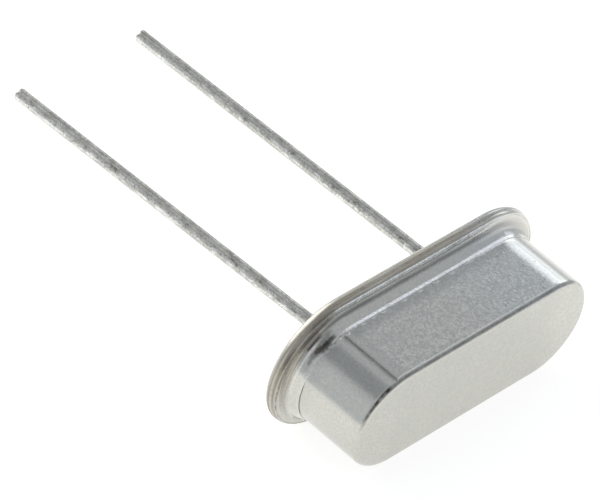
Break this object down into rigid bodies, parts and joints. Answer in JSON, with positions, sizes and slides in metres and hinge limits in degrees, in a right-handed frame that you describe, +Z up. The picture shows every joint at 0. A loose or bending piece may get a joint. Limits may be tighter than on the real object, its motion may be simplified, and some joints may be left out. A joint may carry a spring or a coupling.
{
  "type": "crystal oscillator",
  "caption": "Low oblong metal-can quartz crystal with a welded flange and long round wire leads for through-hole mounting, lying loose on its long side.",
  "frame": {"origin": "centre of the bounding box's base, on the surface that the loose part lies on", "axes": "+X from the leads' cut ends towards the top of the can, +Y along the can from the left lead to the right one, +Z up off the surface"},
  "size_m": [0.0172, 0.011, 0.005],
  "materials": {
    "can_nickel": "nickel plate, fine-grained and lightly satin",
    "base_nickel": "nickel plate, lightly satin",
    "sealing_glass": "dark opaque glass, glossy",
    "tinned_wire": "dull tin, slightly rough",
    "clip_spring": "rolled spring strip",
    "quartz": "lapped crystal, fine matte",
    "silver_film": "evaporated silver, matte",
    "silver_adhesive": "silver-filled epoxy, matte"
  },
  "bodies": {
    "root": {"cover": "can_nickel", "base": "base_nickel", "glass_seal_left": "sealing_glass", "glass_seal_right": "sealing_glass", "lead_left": "tinned_wire", "lead_right": "tinned_wire", "clip_left": "clip_spring", "clip_right": "clip_spring", "quartz_blank": "quartz", "electrode_upper": "silver_film", "electrode_lower": "silver_film", "adhesive_left": "silver_adhesive", "adhesive_right": "silver_adhesive"}
  },
  "joints": []
}
